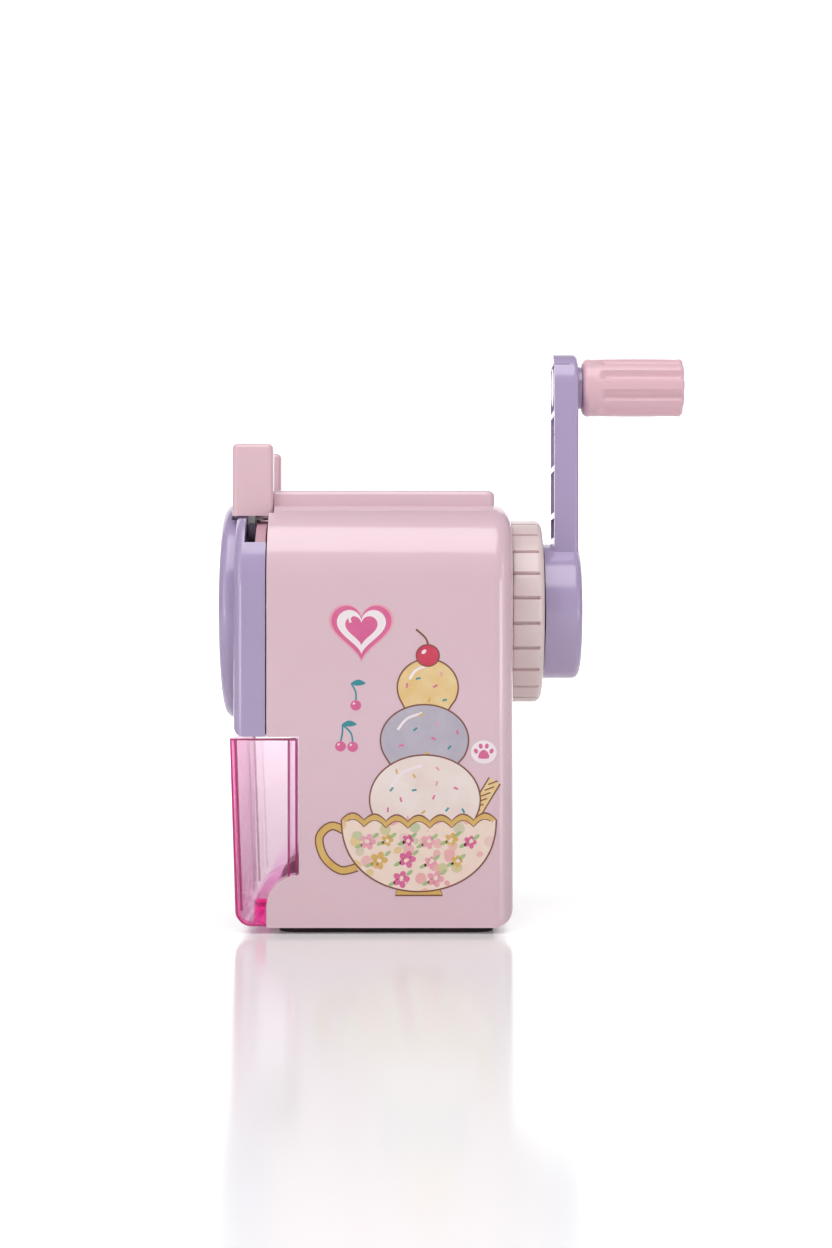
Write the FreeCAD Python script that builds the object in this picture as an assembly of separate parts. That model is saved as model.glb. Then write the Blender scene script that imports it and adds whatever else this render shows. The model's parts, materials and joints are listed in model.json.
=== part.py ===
import FreeCAD, Part
import math
import os
from FreeCAD import Vector

# Hand-crank pencil sharpener, in millimetres. +Z is up and X runs along the pencil: the
# pencil goes in at -X and the crank is at +X. The origin is under the middle of the body.

# ---- body shell ----
body_length = 52.6
body_half = 27.5
body_top = 92.2
shoulder = 17.0
wall = 2.0
rear_round = 4.3
pad_thick = 1.3
ridge_half = 14.5
ridge_rise = 2.9
ridge_inset = 3.6
sill_height = 4.3
foot_round = 6.9
window_depth = 6.9
window_top = 41.7

# ---- working axis ----
axis_z = 68.8
joint_gap = 0.3
running_gap = 0.05

# ---- front carriage ----
cover_thick = 6.9
cover_low = 41.9
cover_inset = 0.3
cover_lip = 0.7
disc_radius = 24.0
disc_rise = 3.5
pencil_hole = 5.0
hole_flare = 0.6
guide_thick = 2.0
guide_bore = 4.2
bush_radius = 6.2
bush_rim = 8.2
chuck_thick = 2.2
chuck_top = 88.4
lever_thick = 1.5

# ---- levers ----
pivot_y = 9.5
pivot_z = 84.0
sector_teeth = 19
cap_inner = 11.0
cap_outer = 17.0
cap_front = 8.9
cap_low = 89.4
cap_top = 105.2
jaw_gap = 0.6
pivot_radius = 1.5
lever_hub = 4.3
spring_drop = 5.4
lever_wire = 0.45
lever_coil = 1.3
lever_turns = 14

# ---- guide rods ----
rod_radius = 1.5
rod_wall_gap = 4.0
rod_bush_radius = 3.0
rod_bush_rim = 3.9
clip_radius = 3.1
clip_width = 1.0
spring_wire = 0.7
spring_turns = 9

# ---- screws ----
boss_radius = 3.2
boss_bite = 0.3
boss_low = 50.0
upper_boss_shift = 0.7
upper_boss_drop = 10.2
screw_radius = 1.1
screw_hole = 1.3
head_radius = 2.2
head_hole = 2.4
head_deep = 1.2
head_sink = 0.1
cover_boss_y = 1.4
cover_boss_z = 1.5

# ---- drawer ----
drawer_wall = 1.05
drawer_reach = 7.9
drawer_lean = 1.3
drawer_low = 1.6
drawer_round = 3.3
bin_side_gap = 0.6
bin_low = 6.1
bin_rear_gap = 6.3
step_wall = 1.5

# ---- cutter unit ----
cone_angle = 11.0
cutter_radius = 6.0
cutter_length = 24.9
tip_gap = 13.9
shaft_seat = 3.2
carrier_gap = 1.3
ring_teeth = 28
pinion_teeth = 15
pinion_face = 2.5
pinion_offset = 3.0
axle_radius = 1.5
shaft_radius = 3.5

# ---- rear cap and crank ----
cap_radius = 20.4
cap_thick = 6.9
cap_grooves = 23
collar_radius = 18.7
flange_thick = 2.4
lug_radius = 20.8
lug_count = 3
lug_turn = 30.0
hub_radius = 15.1
hub_thick = 8.1
arm_half = 7.5
arm_thick = 5.4
crank_radius = 50.2
knob_radius = 6.5
knob_length = 22.6
knob_flutes = 9
spindle_radius = 2.0
neck_radius = 4.7
plug_radius = 4.2
flute_radius = 1.6
flute_deep = 0.6
plain_end = 4.6
crank_rib = 1.3
crank_spine = 1.9
rib_places = [21.3, 31.8, 44.0]
hub_cap_radius = 5.95
hub_cap_deep = 3.0
shaft_grip = 3.6
shaft_flat = 0.7
thread_radius = 1.5
cap_skirt = 2.6
cap_bush = 5.5
cap_screw_reach = 11.0
cap_screw_count = 3
groove_half = 0.45
groove_deep = 0.8

# ---- places worked out from the sizes above ----
front_x = -body_length / 2
rear_x = body_length / 2
floor_z = pad_thick
ridge_top = body_top + ridge_rise
sill_top = floor_z + sill_height
rod_y = body_half - wall - rod_wall_gap
cover_rear = front_x - joint_gap
cover_front = front_x - joint_gap - cover_thick
cover_half = body_half - cover_inset
cover_top = body_top - cover_lip
disc_front = cover_front - disc_rise
chuck_rear = front_x - 2 * joint_gap
chuck_front = chuck_rear - chuck_thick
lever_rear = chuck_front - 0.4
lever_front = lever_rear - lever_thick
finger_front = cover_front - 1.0
finger_rear = finger_front + cap_front
notch_rear = finger_rear + joint_gap
guide_rear = front_x + guide_thick
window_rear = front_x + window_depth
drawer_front = body_length / 2 + drawer_reach
drawer_top = cover_low - joint_gap
bin_half = body_half - wall - bin_side_gap
bin_rear = rear_x - bin_rear_gap
drawer_half = body_half - 0.2
cap_x = rear_x + 0.2
cap_rear = cap_x + cap_thick
hub_x = cap_rear + 0.5
hub_rear = hub_x + hub_thick
arm_rear = hub_rear - 0.4
arm_x = arm_rear - arm_thick
knob_z = axis_z + crank_radius
knob_x = arm_rear + 1.1
knob_end = knob_x + knob_length
flange_x = rear_x - wall - flange_thick
rod_tail = flange_x - 2 * joint_gap
tip_x = flange_x - tip_gap
boss_y = body_half - wall - boss_radius + boss_bite
boss_places = [(boss_y, boss_low), (boss_y - upper_boss_shift, body_top - wall - upper_boss_drop)]
X = Vector(1, 0, 0)


def block(x0, x1, y0, y1, z0, z1):
    return Part.makeBox(x1 - x0, y1 - y0, z1 - z0, Vector(x0, y0, z0))


def rod(x0, x1, radius, y=0.0, z=axis_z):
    return Part.makeCylinder(radius, x1 - x0, Vector(x0, y, z), X)


def tube(x0, x1, outer, inner, y=0.0, z=axis_z):
    return rod(x0, x1, outer, y, z).cut(rod(x0 - 1, x1 + 1, inner, y, z))


def rounded(shape, radius, wanted):
    return shape.makeFillet(radius, [e for e in shape.Edges if wanted(e.BoundBox)])


def mirrored(shape):
    return shape.mirror(Vector(0, 0, 0), Vector(0, 1, 0))


def both_sides(shape):
    return shape.fuse(mirrored(shape))


def joined(shapes):
    result = shapes[0]
    for shape in shapes[1:]:
        result = result.fuse(shape)
    return result.removeSplitter()


def arch(x0, x1, half, z0, z1, radius):
    """A block along X whose two upper long edges are rounded."""
    side = half - radius
    spring = z1 - radius
    k = radius * math.sqrt(0.5)
    corner = [Vector(x0, half, z0), Vector(x0, half, spring), Vector(x0, side, z1)]
    other = [Vector(x0, -p.y, p.z) for p in corner]
    edges = [
        Part.LineSegment(other[0], corner[0]),
        Part.LineSegment(corner[0], corner[1]),
        Part.Arc(corner[1], Vector(x0, side + k, spring + k), corner[2]),
        Part.LineSegment(corner[2], other[2]),
        Part.Arc(other[2], Vector(x0, -side - k, spring + k), other[1]),
        Part.LineSegment(other[1], other[0]),
    ]
    face = Part.Face(Part.Wire([e.toShape() for e in edges]))
    return face.extrude(Vector(x1 - x0, 0, 0))


def slab(points, y0, y1):
    """A polygon of (x, z) points, pulled along Y. A point given as a triple
    (x, z, (mid_x, mid_z)) is reached by an arc through the middle point."""
    edges = []
    last = points[-1]
    for p in points:
        a = Vector(last[0], y0, last[1])
        b = Vector(p[0], y0, p[1])
        if len(p) == 3:
            edges.append(Part.Arc(a, Vector(p[2][0], y0, p[2][1]), b).toShape())
        else:
            edges.append(Part.LineSegment(a, b).toShape())
        last = p
    return Part.Face(Part.Wire(edges)).extrude(Vector(0, y1 - y0, 0))


def plate(points, x0, x1):
    """A polygon of (y, z) points, pulled along X."""
    corners = [Vector(x0, y, z) for y, z in points]
    return Part.Face(Part.makePolygon(corners + corners[:1])).extrude(Vector(x1 - x0, 0, 0))


def coil(wire, radius, length, turns):
    """A round spring along +Z from the origin."""
    pitch = (length - wire) / turns
    path = Part.makeHelix(pitch, length - wire, radius)
    path.translate(Vector(0, 0, wire / 2))
    start = Vector(radius, 0, wire / 2)
    ring = Part.Wire(Part.makeCircle(wire / 2, start, Vector(0, 1, 0)))
    return Part.Wire(path.Edges).makePipeShell([ring], True, True)


def toothed(count, root, tip, width_root, width_tip, phase=0.0):
    """Corner points of a wheel with straight-sided teeth. Widths are in degrees."""
    points = []
    step = 360.0 / count
    for i in range(count):
        at = phase + i * step
        for turn, radius in (
            (-width_root / 2, root),
            (-width_tip / 2, tip),
            (width_tip / 2, tip),
            (width_root / 2, root),
        ):
            a = math.radians(at + turn)
            points.append((radius * math.cos(a), radius * math.sin(a)))
    return points


# ---- body ----
def window():
    """What is cut from the body's front lower corner on both sides for the drawer."""
    radius = foot_round
    low = sill_top
    points = [
        (window_rear, window_top + 0.2),
        (front_x - 1, window_top + 0.2),
        (front_x - 1, low),
        (window_rear - radius, low),
        (window_rear, low + radius, arc_middle(window_rear, low, radius)),
    ]
    return slab(points, -body_half - 1, body_half + 1)


def arc_middle(centre_x, centre_z, radius):
    k = radius * math.sqrt(0.5)
    return (centre_x - k, centre_z + k)


def lever_notch():
    return block(front_x - 1, notch_rear, -cap_outer - 2, cap_outer + 2, cap_low - 1.1, ridge_top + 1)


def bayonet_opening():
    """The round hole in the rear wall, with a way in for each lug."""
    cuts = [rod(rear_x - wall - 1, rear_x + 1, collar_radius + joint_gap)]
    for i in range(lug_count):
        at = i * 360.0 / lug_count + lug_turn
        cuts.append(lug(rear_x - wall - 1, rear_x + 1, lug_radius + 0.4, 27.0, at))
    return joined(cuts)


def lug(x0, x1, radius, width, at):
    """A sector of a disc, width degrees wide, centred at degrees from +Y."""
    piece = Part.makeCylinder(radius, x1 - x0, Vector(0, 0, 0), Vector(0, 0, 1), width)
    piece = piece.cut(Part.makeCylinder(collar_radius - 3, x1 - x0))
    piece.rotate(Vector(0, 0, 0), Vector(0, 0, 1), at - width / 2)
    piece.rotate(Vector(0, 0, 0), Vector(1, 1, 1), 120)
    piece.translate(Vector(x0, 0, axis_z))
    return piece


def housing():
    outer = arch(front_x, rear_x, body_half, floor_z, body_top, shoulder)
    outer = rounded(outer, rear_round, lambda b: b.XMin > rear_x - 0.01)
    ridge_rear = rear_x - ridge_inset
    ridge = block(front_x, ridge_rear, -ridge_half, ridge_half, body_top - 6, ridge_top)
    ridge = rounded(ridge, 2.0, lambda b: b.XMin > ridge_rear - 0.01 and b.ZLength > 1)
    ridge = rounded(ridge, 1.2, lambda b: b.ZMin > ridge_top - 0.01)
    shell = outer.fuse(ridge)
    inner_top = body_top - wall
    shell = shell.cut(
        arch(front_x - 1, rear_x - wall, body_half - wall, floor_z + wall, inner_top,
             shoulder - wall)
    )
    shell = shell.cut(
        block(front_x - 1, ridge_rear - wall, wall - ridge_half, ridge_half - wall,
              body_top - 8, ridge_top - wall)
    )
    inside = body_half - wall + 0.5
    sill = block(front_x, front_x + wall, -inside, inside, floor_z + 0.5, sill_top)
    runner = block(front_x + wall, rear_x - wall, 17, 20, floor_z + 0.5, bin_low - joint_gap)
    shell = joined([shell, sill, both_sides(runner)] + guide_bosses())
    shell = shell.cut(window()).cut(lever_notch()).cut(bayonet_opening())
    return shell


def guide_bosses():
    bosses = []
    for y, z in boss_places:
        for side in (-1, 1):
            boss = tube(guide_rear, guide_rear + 9, boss_radius, screw_radius, side * y, z)
            bosses.append(boss)
    return bosses


def base_pad():
    pad = block(front_x + 2.3, rear_x - 4.1, -body_half + 2.5, body_half - 2.5, 0, pad_thick)
    pad = rounded(pad, 4.0, lambda b: b.ZLength > pad_thick - 0.01)
    return rounded(pad, 0.5, lambda b: b.ZMax < 0.01)


def front_guide_plate():
    half = body_half - wall - 0.1
    plate_top = body_top - wall - 0.1
    shape = arch(front_x, guide_rear, half, cover_low + 0.2, plate_top, shoulder - wall - 0.1)
    shape = shape.cut(lever_notch()).cut(rod(front_x - 1, guide_rear + 1, bush_radius))
    for side in (-1, 1):
        shape = shape.cut(rod(front_x - 1, guide_rear + 1, rod_bush_radius, side * rod_y))
        for y, z in boss_places:
            shape = shape.cut(rod(front_x - 1, guide_rear + 1, screw_hole, side * y, z))
            shape = shape.cut(rod(front_x - 1, front_x + head_deep, head_hole, side * y, z))
    return shape


def guide_plate_screws():
    screws = []
    for side in (-1, 1):
        for y, z in boss_places:
            head = rod(front_x + head_sink, front_x + head_deep, head_radius, side * y, z)
            shank = rod(front_x + head_deep, front_x + 9, screw_radius, side * y, z)
            screws.append(head.fuse(shank))
    return Part.makeCompound(screws)


def pencil_guide_bush():
    bush = rod(front_x, guide_rear + 2.9, bush_radius).fuse(rod(guide_rear, guide_rear + 1.5, bush_rim))
    bush = bush.cut(rod(front_x - 1, rear_x, guide_bore))
    mouth = Part.makeCone(guide_bore + 1.0, guide_bore, 1.2, Vector(front_x - 0.01, 0, axis_z), X)
    return bush.cut(mouth).removeSplitter()


def rod_bushes():
    bushes = []
    for side in (-1, 1):
        bush = rod(front_x, guide_rear + 3, rod_bush_radius, side * rod_y)
        bush = bush.fuse(rod(guide_rear, guide_rear + 1, rod_bush_rim, side * rod_y))
        hole = rod(front_x - 1, guide_rear + 4, rod_radius + running_gap, side * rod_y)
        bushes.append(bush.cut(hole).removeSplitter())
    return Part.makeCompound(bushes)


# ---- front carriage ----
def front_cover():
    radius = shoulder - cover_inset
    shell = arch(cover_front, cover_rear, cover_half, cover_low, cover_top, radius)
    shell = rounded(shell, 2.4, lambda b: b.XMax < cover_front + 0.01)
    disc = rod(disc_front, cover_front + 1.5, disc_radius)
    disc = rounded(disc, 2.3, lambda b: b.XMax < disc_front + 0.01)
    shell = shell.fuse(disc).removeSplitter()
    inner = arch(cover_front + wall, cover_rear + 1, cover_half - wall, cover_low + wall,
                 cover_top - wall, radius - wall)
    shell = shell.cut(inner).cut(rod(disc_front + wall, cover_rear, disc_radius - 2.5))
    for side in (-1, 1):
        for y, z in boss_places:
            boss = tube(cover_front + wall - 0.2, chuck_front, 2.8, screw_radius,
                        side * (y - cover_boss_y), z - cover_boss_z)
            shell = shell.fuse(boss)
    shell = shell.removeSplitter()
    slot = block(lever_front - 0.2, cover_rear + 1, pivot_y - 0.5, body_half + 1,
                 pivot_z - 0.6, body_top + 5)
    notch = block(finger_front - 0.4, cover_rear + 1, cap_inner - 4, cap_outer + 5, cap_low - 0.7,
                  body_top + 5)
    shell = shell.cut(both_sides(slot)).cut(both_sides(notch))
    mouth = Part.makeCone(pencil_hole + 1.6, pencil_hole, 0.8, Vector(disc_front - 0.001, 0, axis_z), X)
    return shell.cut(rod(disc_front - 1, cover_rear, pencil_hole)).cut(mouth)


def chuck_plate():
    shape = arch(chuck_front, chuck_rear, cover_half - wall - 0.2, cover_low + wall + 0.2,
                 chuck_top, shoulder - 3.5)
    shape = shape.cut(rod(chuck_front - 1, chuck_rear + 1, pencil_hole + hole_flare))
    for side in (-1, 1):
        shape = shape.cut(rod(chuck_front - 1, chuck_rear + 1, rod_radius, side * rod_y))
        shape = shape.cut(rod(chuck_front - 1, chuck_rear + 1, pivot_radius, side * pivot_y, pivot_z))
        for y, z in boss_places:
            at = (side * (y - cover_boss_y), z - cover_boss_z)
            shape = shape.cut(rod(chuck_front - 1, chuck_rear + 1, screw_hole, *at))
            shape = shape.cut(rod(chuck_rear - head_deep, chuck_rear + 1, head_hole, *at))
    return shape


def cover_screws():
    screws = []
    for side in (-1, 1):
        for y, z in boss_places:
            at = (side * (y - cover_boss_y), z - cover_boss_z)
            head = rod(chuck_rear - head_deep, chuck_rear - head_sink, head_radius, *at)
            shank = rod(cover_front + wall + 0.1, chuck_rear - head_deep, screw_radius, *at)
            screws.append(head.fuse(shank))
    return Part.makeCompound(screws)


def lever_pivots():
    pins = []
    for side in (-1, 1):
        pin = rod(lever_front - 0.3, chuck_rear, pivot_radius, side * pivot_y, pivot_z)
        head = rod(lever_front - 1.0, lever_front - 0.2, 2.6, side * pivot_y, pivot_z)
        pins.append(pin.fuse(head))
    return Part.makeCompound(pins)


def guide_rods():
    rods = []
    for side in (-1, 1):
        shape = rod(chuck_front, rod_tail, rod_radius, side * rod_y)
        groove = tube(rod_tail - 0.6 - clip_width, rod_tail - 0.6, 2.5, rod_radius - 0.35, side * rod_y)
        rods.append(shape.cut(groove))
    return Part.makeCompound(rods)


def rod_clips():
    clips = []
    for side in (-1, 1):
        clip = tube(rod_tail - 0.55 - clip_width, rod_tail - 0.65, clip_radius, rod_radius - 0.33,
                    side * rod_y)
        gap = block(rod_tail - 3, rod_tail, side * rod_y - 0.9, side * rod_y + 0.9, axis_z, axis_z + 4)
        clips.append(clip.cut(gap))
    return Part.makeCompound(clips)


def feed_spring(side):
    start = guide_rear + 3.1
    length = rod_tail - 1.7 - start
    spring = coil(spring_wire, rod_radius + 0.75, length, spring_turns)
    spring.rotate(Vector(0, 0, 0), Vector(0, 1, 0), 90)
    spring.translate(Vector(start, side * rod_y, axis_z))
    return spring


# ---- chuck levers ----
def sector(side):
    """The meshing teeth that keep the two levers together."""
    radius = pivot_y
    module = 2 * radius / sector_teeth
    step = 360.0 / sector_teeth
    middle = 180.0 if side > 0 else 0.0
    phase = middle if side > 0 else middle + step / 2
    points = toothed(sector_teeth, radius - 1.15 * module, radius + 0.8 * module,
                     0.56 * step, 0.24 * step, phase)
    wheel = plate([(side * pivot_y + y, pivot_z + z) for y, z in points], lever_front, lever_rear)
    span = [(side * pivot_y, pivot_z)]
    for turn in (-14, 10, 34):
        a = math.radians(middle - side * turn)
        span.append((side * pivot_y + 14 * math.cos(a), pivot_z + 14 * math.sin(a)))
    return wheel.common(plate(span, lever_front, lever_rear))


def lever_plate(side):
    p = pivot_y
    stem = [(p - 3.2, pivot_z + 1.5), (p + 3.5, pivot_z - 2), (cap_outer - 0.8, cap_low - 1.5),
            (cap_outer - 0.8, cap_top - 3), (cap_inner + 1, cap_top - 3), (cap_inner + 1, cap_low)]
    arm = [(p - 3.4, pivot_z), (p + 4.0, pivot_z), (p + 2.4, axis_z + 7), (p - 2.0, axis_z - 6),
           (jaw_gap + 0.6, axis_z - 6), (jaw_gap + 0.6, axis_z + 6), (p - 4.4, axis_z + 8)]
    shapes = [rod(lever_front, lever_rear, lever_hub, p, pivot_z), plate(stem, lever_front, lever_rear),
              plate(arm, lever_front, lever_rear),
              rod(lever_front - 2.4, lever_front + 0.5, 0.8, p - 1.0, pivot_z - spring_drop)]
    shape = joined(shapes)
    if side < 0:
        shape = mirrored(shape)
    shape = joined([shape, sector(side)])
    grip = rod(lever_front - 1, lever_rear + 1, 3.4)
    hole = rod(lever_front - 4, lever_rear + 1, pivot_radius + running_gap, side * p, pivot_z)
    return shape.cut(hole).cut(grip)


def jaw_pad(side):
    pad = block(lever_front - 2.6, lever_front, jaw_gap, 6.0, axis_z - 5.2, axis_z + 5.2)
    pad = rounded(pad, 0.7, lambda b: b.YMin > 5.9 and b.XLength < 0.1 and b.ZLength > 1)
    for i in range(-4, 5):
        groove = block(lever_front - 3, lever_front + 1, jaw_gap - 1, jaw_gap + 0.35,
                       axis_z + i * 1.1 - 0.25, axis_z + i * 1.1 + 0.25)
        pad = pad.cut(groove)
    pad = pad.cut(rod(lever_front - 4, lever_front + 1, 3.0))
    return pad if side > 0 else mirrored(pad)


def finger_cap(side):
    cap = block(finger_front, finger_rear, cap_inner, cap_outer, cap_low, cap_top)
    cap = rounded(cap, 1.3, lambda b: b.ZLength > 5)
    cap = rounded(cap, 1.1, lambda b: b.ZMin > cap_top - 0.01)
    pocket = block(lever_front, lever_rear, cap_inner + 1, cap_outer - 0.8, cap_low - 1, cap_top - 3)
    cap = cap.cut(pocket)
    return cap if side > 0 else mirrored(cap)


def lever_spring():
    reach = pivot_y - 1.9
    spring = coil(lever_wire, lever_coil, 2 * reach, lever_turns)
    spring.rotate(Vector(0, 0, 0), Vector(1, 0, 0), -90)
    spring.translate(Vector(lever_front - 1.9, -reach, pivot_z - spring_drop))
    return spring


# ---- drawer ----
def drawer_side(outset, thick):
    """Side outline of the front bin, shrunk by thick at the front and below."""
    front = -drawer_front + thick
    low = drawer_low + thick
    centre = (window_rear, sill_top)
    radius = foot_round + joint_gap + outset
    rear = window_rear - joint_gap - (step_wall if thick else 0.0)
    heel = window_rear - radius
    top = drawer_top + (1.0 if thick else 0.0)
    high = centre[1] + math.sqrt(radius**2 - (window_rear - rear) ** 2)
    k = radius * math.sqrt(0.5)
    lean = drawer_lean * (drawer_top - low) / drawer_top
    outline = [
        (rear, top),
        (front, top),
        (front + lean, low),
        (heel, low),
        (heel, centre[1]),
        (rear, high, (centre[0] - k, centre[1] + k)),
    ]
    return outline


def drawer():
    outer = slab(drawer_side(0.0, 0.0), -drawer_half, drawer_half)
    outer = rounded(outer, drawer_round,
                    lambda b: b.ZMax < drawer_low + 0.01 and b.XMax < -drawer_front + drawer_lean + 0.1)
    outer = rounded(outer, 1.2, lambda b: b.XMax < -drawer_front + drawer_lean + 0.05
                    and b.ZLength > 20)
    bin_front = window_rear - foot_round - joint_gap - 1
    bin_outer = block(bin_front, bin_rear, -bin_half, bin_half, bin_low, drawer_top)
    bin_outer = rounded(bin_outer, 2.0, lambda b: b.XMin > bin_rear - 0.01 and b.ZLength > 5)
    outer = outer.fuse(bin_outer).removeSplitter()
    thick = drawer_wall
    inner = slab(drawer_side(2.35, thick), thick - drawer_half, drawer_half - thick)
    inner = rounded(inner, drawer_round - thick,
                    lambda b: b.ZMax < drawer_low + thick + 0.01
                    and b.XMax < -drawer_front + drawer_lean + thick + 0.1)
    start = window_rear - foot_round - joint_gap - 2.35
    bin_inner = block(start - 1, bin_rear - thick, thick - bin_half, bin_half - thick,
                      bin_low + thick, drawer_top + 1)
    bin_inner = rounded(bin_inner, 1.0, lambda b: b.XMin > bin_rear - thick - 0.01 and b.ZLength > 5)
    return outer.cut(inner.fuse(bin_inner))


# ---- cutter unit ----
def axis_height(x):
    """Height of the cutter's own axis over the working axis, at a place along X."""
    tilt = math.radians(cone_angle)
    return cutter_radius / math.cos(tilt) + (tip_x - x) * math.tan(tilt)


def tilted(shape):
    """Moves a shape built along +Z onto the cutter's axis: z = 0 goes to the pencil's tip."""
    shape.rotate(Vector(0, 0, 0), Vector(0, 1, 0), 90)
    shape.rotate(Vector(0, 0, 0), Vector(0, 1, 0), cone_angle)
    shape.translate(Vector(tip_x, 0, axis_z + axis_height(tip_x)))
    return shape


def gear_module():
    tilt = math.radians(cone_angle)
    along = pinion_offset + pinion_face / 2
    height = axis_height(tip_x + along * math.cos(tilt))
    return 2 * height / (ring_teeth - pinion_teeth * math.cos(tilt))


def extrude_points(points, z0, z1):
    corners = [Vector(x, y, z0) for x, y in points]
    return Part.Face(Part.makePolygon(corners + corners[:1])).extrude(Vector(0, 0, z1 - z0))


def cutter_pinion():
    m = gear_module()
    step = 360.0 / pinion_teeth
    pitch = m * pinion_teeth / 2
    points = toothed(pinion_teeth, pitch - 1.25 * m, pitch + 0.72 * m, 0.50 * step, 0.20 * step, 180.0)
    gear = extrude_points(points, pinion_offset, pinion_offset + pinion_face)
    hub = Part.makeCylinder(3.0, pinion_offset - 0.4, Vector(0, 0, 0.4))
    gear = gear.fuse(hub)
    gear = gear.cut(Part.makeCylinder(axle_radius + running_gap, 30, Vector(0, 0, -5)))
    return tilted(gear)


def helical_cutter():
    blades = 12
    step = 360.0 / blades
    points = toothed(blades, cutter_radius - 1.1, cutter_radius, 0.8 * step, 0.14 * step)
    sections = 7
    twist = 80.0
    wires = []
    for i in range(sections):
        share = i / (sections - 1)
        corners = [Vector(x, y, 0.4 - cutter_length * (1 - share)) for x, y in points]
        wire = Part.makePolygon(corners + corners[:1])
        wire.rotate(Vector(0, 0, 0), Vector(0, 0, 1), twist * share)
        wires.append(wire)
    body = Part.makeLoft(wires, True, True)
    body = body.cut(Part.makeCylinder(axle_radius + running_gap, 60, Vector(0, 0, -40)))
    return tilted(body)


def cutter_axle():
    front = -cutter_length - 3.6
    return tilted(Part.makeCylinder(axle_radius, 9.4 - front, Vector(0, 0, front)))


def ring_gear():
    m = gear_module()
    step = 360.0 / ring_teeth
    pitch = m * ring_teeth / 2
    points = toothed(ring_teeth, pitch + 1.3 * m, pitch - 0.8 * m, 0.50 * step, 0.20 * step,
                     90.0 + step / 2)
    front = tip_x + 1.6
    back = flange_x + 1
    body = rod(front, back, pitch + 1.3 * m + 2.8)
    hole = plate([(y, axis_z + z) for y, z in points], front - 1, front + 6.5)
    body = body.cut(hole).cut(rod(front + 6.4, back + 1, pitch + 1.3 * m + 0.4))
    return body


def cutter_carrier():
    web_outer = gear_module() * (ring_teeth / 2 - 0.8) - 0.45
    disc_x = tip_x + 6.4
    disc_rear = flange_x - carrier_gap
    rear_disc = rod(disc_x, disc_rear, web_outer)
    front_face = tip_x - (cutter_length - 0.4) * math.cos(math.radians(cone_angle)) - 1.6
    front_disc = rod(front_face - 3, front_face, 14.5)
    web = tube(front_face - 1, disc_x + 1, web_outer, web_outer - 2.0)
    web = web.common(block(front_face - 2, disc_x + 2, -20, 20, axis_z - 20, axis_z - 3))
    shape = joined([rear_disc, front_disc, web])
    shape = shape.cut(rod(front_face - 4, front_face + 1, 4.8))
    shape = shape.cut(cutter_axle()).cut(rod(disc_rear - shaft_seat, disc_rear + 1, shaft_radius))
    pinion_room = tilted(Part.makeCylinder(gear_module() * (pinion_teeth / 2 + 1.3),
                                           pinion_face + 1.0, Vector(0, 0, pinion_offset - 0.4)))
    return shape.cut(pinion_room)


def point_stop():
    top = axis_z + 0.8
    radius = gear_module() * (ring_teeth / 2 - 0.8) - 2.45
    tab = block(tip_x + 0.7, tip_x + 1.3, -2.5, 2.5, axis_z - radius - 0.2, top)
    return tab.common(rod(tip_x, tip_x + 2, radius))


def drive_shaft():
    start = flange_x - carrier_gap - shaft_seat
    shaft = rod(start, hub_x + shaft_grip, shaft_radius)
    flat = block(hub_x + 0.5, hub_x + 4, -5, 5, axis_z + shaft_radius - shaft_flat, axis_z + 5)
    thread = rod(hub_x - 5, hub_x + 4, thread_radius)
    return shaft.cut(flat).cut(thread)


def rear_bush():
    bush = rod(flange_x - 1.0, cap_rear + 0.2, cap_bush).fuse(rod(flange_x - 1.0, flange_x, cap_bush + 2))
    return bush.cut(rod(flange_x - 2, cap_rear + 1, shaft_radius + running_gap)).removeSplitter()


def cap_screw_places():
    for i in range(cap_screw_count):
        a = math.radians(90 + i * 360.0 / cap_screw_count)
        yield cap_screw_reach * math.cos(a), axis_z + cap_screw_reach * math.sin(a)


def bayonet_flange():
    shapes = [rod(flange_x, rear_x + 0.1, collar_radius)]
    shapes.append(rod(rear_x, cap_rear - wall, 8.5))
    for i in range(lug_count):
        at = i * 360.0 / lug_count
        shapes.append(lug(flange_x, rear_x - wall - joint_gap, lug_radius, 22.0, at))
    for y, z in cap_screw_places():
        shapes.append(rod(rear_x, cap_rear - wall, 3.0, y, z))
    shape = joined(shapes).cut(rod(flange_x - 1, cap_rear, cap_bush))
    m = gear_module()
    outer = m * (ring_teeth / 2 + 1.3) + 2.8
    shape = shape.cut(tube(flange_x - 1, flange_x + 1, outer, outer - 2.4))
    for y, z in cap_screw_places():
        shape = shape.cut(rod(flange_x + 2.4, cap_rear, 1.2, y, z))
    return shape


def rear_cap():
    cap = rod(cap_x, cap_rear, cap_radius)
    cap = rounded(cap, 1.6, lambda b: b.XMin > cap_rear - 0.01)
    cap = cap.cut(rod(cap_x - 1, cap_rear - wall, cap_radius - cap_skirt))
    cap = cap.cut(rod(cap_x, cap_rear + 1, cap_bush))
    for i in range(cap_grooves):
        groove = block(cap_x - 1, cap_rear - 1.0, -groove_half, groove_half, cap_radius - groove_deep,
                       cap_radius + 2)
        groove.rotate(Vector(0, 0, 0), X, i * 360.0 / cap_grooves)
        groove.translate(Vector(0, 0, axis_z))
        cap = cap.cut(groove)
    for y, z in cap_screw_places():
        cap = cap.cut(rod(cap_x, cap_rear + 1, screw_hole, y, z))
        cap = cap.cut(rod(cap_rear - head_deep, cap_rear + 1, 2.3, y, z))
    return cap


def cap_screws():
    screws = []
    for y, z in cap_screw_places():
        head = rod(cap_rear - head_deep, cap_rear - head_sink, head_radius, y, z)
        screws.append(head.fuse(rod(flange_x + 2.6, cap_rear - head_deep, 1.2, y, z)))
    return Part.makeCompound(screws)


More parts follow.
